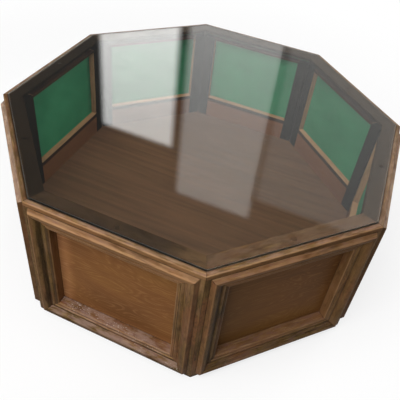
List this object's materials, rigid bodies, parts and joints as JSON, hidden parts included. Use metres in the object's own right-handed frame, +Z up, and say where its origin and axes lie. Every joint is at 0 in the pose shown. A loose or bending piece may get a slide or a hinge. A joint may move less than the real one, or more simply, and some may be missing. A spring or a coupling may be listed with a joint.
{
  "type": "display table",
  "caption": "Low octagonal display table: framed and panelled wooden sides with raised mouldings, a mitred rim and a clear glass pane that lifts off the green-lined display space.",
  "frame": {"origin": "on the floor, under the centre of the pane", "axes": "+Z up; the front side faces -Y and +X is to its right, seen from in front"},
  "size_m": [1.02, 1.02, 0.3835],
  "materials": {
    "frame_wood": "worn brown stain, satin",
    "moulding_wood": "worn brown stain, satin",
    "veneer": "orange-brown veneer, satin; green inside",
    "rim_wood": "worn brown stain, rubbed edges",
    "floor_ply": "brown stained board",
    "plain_wood": "bare softwood",
    "clear_glass": "polished, clear",
    "clear_vinyl": "clear, soft",
    "screw_steel": "zinc plated"
  },
  "bodies": {
    "table": {"frame_stiles_front": "frame_wood", "frame_stiles_front_right": "frame_wood", "frame_stiles_right": "frame_wood", "frame_stiles_back_right": "frame_wood", "frame_stiles_back": "frame_wood", "frame_stiles_back_left": "frame_wood", "frame_stiles_left": "frame_wood", "frame_stiles_front_left": "frame_wood", "frame_rails_front": "frame_wood", "frame_rails_front_right": "frame_wood", "frame_rails_right": "frame_wood", "frame_rails_back_right": "frame_wood", "frame_rails_back": "frame_wood", "frame_rails_back_left": "frame_wood", "frame_rails_left": "frame_wood", "frame_rails_front_left": "frame_wood", "moulding_rails_front": "moulding_wood", "moulding_rails_front_right": "moulding_wood", "moulding_rails_right": "moulding_wood", "moulding_rails_back_right": "moulding_wood", "moulding_rails_back": "moulding_wood", "moulding_rails_back_left": "moulding_wood", "moulding_rails_left": "moulding_wood", "moulding_rails_front_left": "moulding_wood", "moulding_stiles_front": "moulding_wood", "moulding_stiles_front_right": "moulding_wood", "moulding_stiles_right": "moulding_wood", "moulding_stiles_back_right": "moulding_wood", "moulding_stiles_back": "moulding_wood", "moulding_stiles_back_left": "moulding_wood", "moulding_stiles_left": "moulding_wood", "moulding_stiles_front_left": "moulding_wood", "panel_front": "veneer", "panel_front_right": "veneer", "panel_right": "veneer", "panel_back_right": "veneer", "panel_back": "veneer", "panel_back_left": "veneer", "panel_left": "veneer", "panel_front_left": "veneer", "rim_rail_front": "rim_wood", "rim_rail_front_right": "rim_wood", "rim_rail_right": "rim_wood", "rim_rail_back_right": "rim_wood", "rim_rail_back": "rim_wood", "rim_rail_back_left": "rim_wood", "rim_rail_left": "rim_wood", "rim_rail_front_left": "rim_wood", "batten_rails": "frame_wood", "batten_stiles": "frame_wood", "glass_pads": "clear_vinyl", "base_board": "floor_ply", "base_cleats": "plain_wood", "corner_blocks": "plain_wood", "cleat_screws": "screw_steel", "board_screws": "screw_steel"},
    "glass": {"glass_top": "clear_glass"}
  },
  "joints": [
    {"name": "glass_lift", "type": "slide", "parent": "table", "child": "glass", "axis": [0, 0, 1], "range_m": [0, 0.3]}
  ]
}
